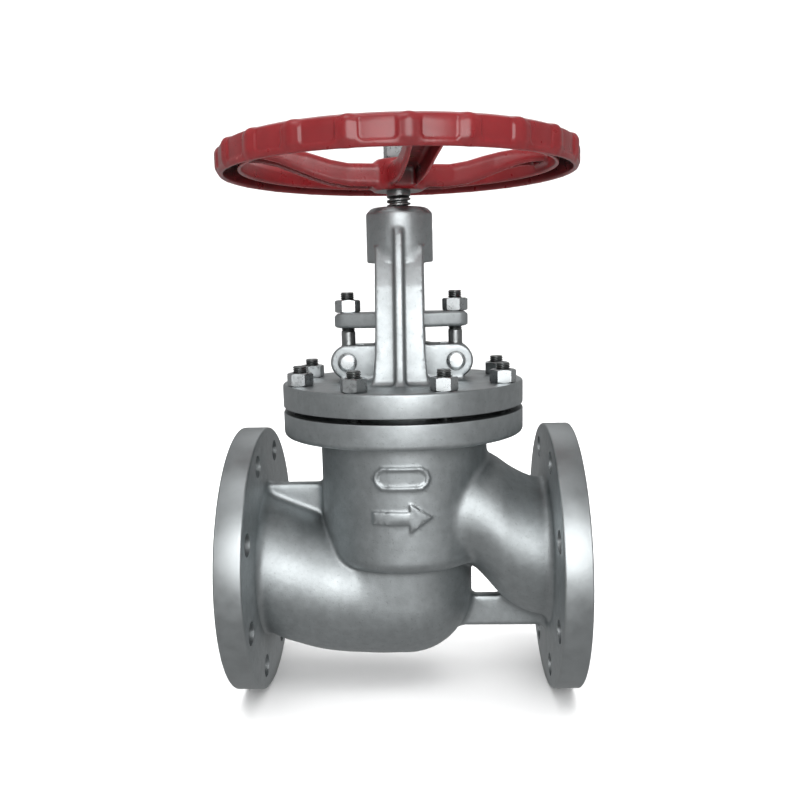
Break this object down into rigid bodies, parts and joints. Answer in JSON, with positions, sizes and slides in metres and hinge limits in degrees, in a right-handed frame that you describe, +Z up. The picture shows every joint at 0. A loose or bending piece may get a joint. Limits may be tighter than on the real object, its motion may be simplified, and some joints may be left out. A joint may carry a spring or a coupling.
{
  "type": "flanged globe valve",
  "caption": "Flanged straight globe valve in cast stainless steel with a bolted bonnet, outside screw and yoke, swing eyebolt gland and a red spoked handwheel.",
  "frame": {"origin": "centre of the inlet flange's raised face, on the pipe axis", "axes": "+X along the pipe in the direction of flow, +Z up along the stem, +Y to the left of the flow"},
  "size_m": [0.2996, 0.2988, 0.4718],
  "materials": {
    "cast_steel": "bead-blasted cast stainless steel, matte",
    "turned_steel": "turned stainless steel, fine lathe lines",
    "stem_steel": "ground stainless steel with an oiled trapezoidal thread",
    "fastener_steel": "bright stainless steel fasteners",
    "wheel_paint": "glossy red enamel over cast iron",
    "graphite": "braided graphite packing, dull black",
    "gasket": "spiral-wound steel and graphite",
    "bronze": "turned bronze with a light patina",
    "black_steel": "blackened alloy steel"
  },
  "bodies": {
    "casing": {"body": "cast_steel", "seat_ring": "turned_steel", "bonnet": "cast_steel", "bonnet_gasket": "gasket", "bonnet_studs": "fastener_steel", "bonnet_nuts": "fastener_steel", "backseat_bushing": "turned_steel", "packing_washer": "fastener_steel", "packing_ring_1": "graphite", "packing_ring_2": "graphite", "packing_ring_3": "graphite", "packing_ring_4": "graphite", "packing_ring_5": "graphite", "eyebolt_pin_left": "fastener_steel", "eyebolt_pin_right": "fastener_steel", "cotter_left": "fastener_steel", "cotter_right": "fastener_steel", "yoke_bushing": "bronze", "yoke_set_screw": "black_steel"},
    "closure": {"disc": "turned_steel", "disc_nut": "turned_steel", "disc_lock_washer": "fastener_steel"},
    "spindle": {"stem": "stem_steel", "handwheel": "wheel_paint", "handwheel_washer": "fastener_steel", "handwheel_nut": "fastener_steel"},
    "gland": {"gland_follower": "turned_steel", "gland_flange": "cast_steel"},
    "swing_bolt_left": {"eyebolt_left": "fastener_steel"},
    "swing_bolt_right": {"eyebolt_right": "fastener_steel"},
    "clamp_nut_left": {"gland_nut_left": "fastener_steel"},
    "clamp_nut_right": {"gland_nut_right": "fastener_steel"}
  },
  "joints": [
    {"name": "disc_lift", "type": "slide", "parent": "casing", "child": "closure", "axis": [0, 0, 1], "range_m": [0, 0.03]},
    {"name": "handwheel_turn", "type": "hinge", "parent": "closure", "child": "spindle", "pos_m": [0.146, 0, 0.339], "axis": [0, 0, 1], "range_deg": [0, 2700]},
    {"name": "gland_take_up", "type": "slide", "parent": "casing", "child": "gland", "axis": [0, 0, -1], "range_m": [0, 0.004], "deforming": ["packing_ring_1", "packing_ring_2", "packing_ring_3", "packing_ring_4", "packing_ring_5"]},
    {"name": "eyebolt_left_swing", "type": "hinge", "parent": "casing", "child": "swing_bolt_left", "pos_m": [0.1, 0, 0.1727], "axis": [0, -1, 0], "range_deg": [0, 80]},
    {"name": "eyebolt_right_swing", "type": "hinge", "parent": "casing", "child": "swing_bolt_right", "pos_m": [0.192, 0, 0.1727], "axis": [0, 1, 0], "range_deg": [0, 80]},
    {"name": "gland_nut_left_back_off", "type": "slide", "parent": "swing_bolt_left", "child": "clamp_nut_left", "axis": [0, 0, 1], "range_m": [0, 0.0115]},
    {"name": "gland_nut_right_back_off", "type": "slide", "parent": "swing_bolt_right", "child": "clamp_nut_right", "axis": [0, 0, 1], "range_m": [0, 0.0115]}
  ],
  "couplings": [
    {"joint": "disc_lift", "follows": "handwheel_turn", "m_per_rad": 0.00063662},
    {"joint": "gland_nut_left_back_off", "follows": "eyebolt_left_swing", "m_per_rad": 0.008},
    {"joint": "gland_nut_right_back_off", "follows": "eyebolt_right_swing", "m_per_rad": 0.008}
  ]
}
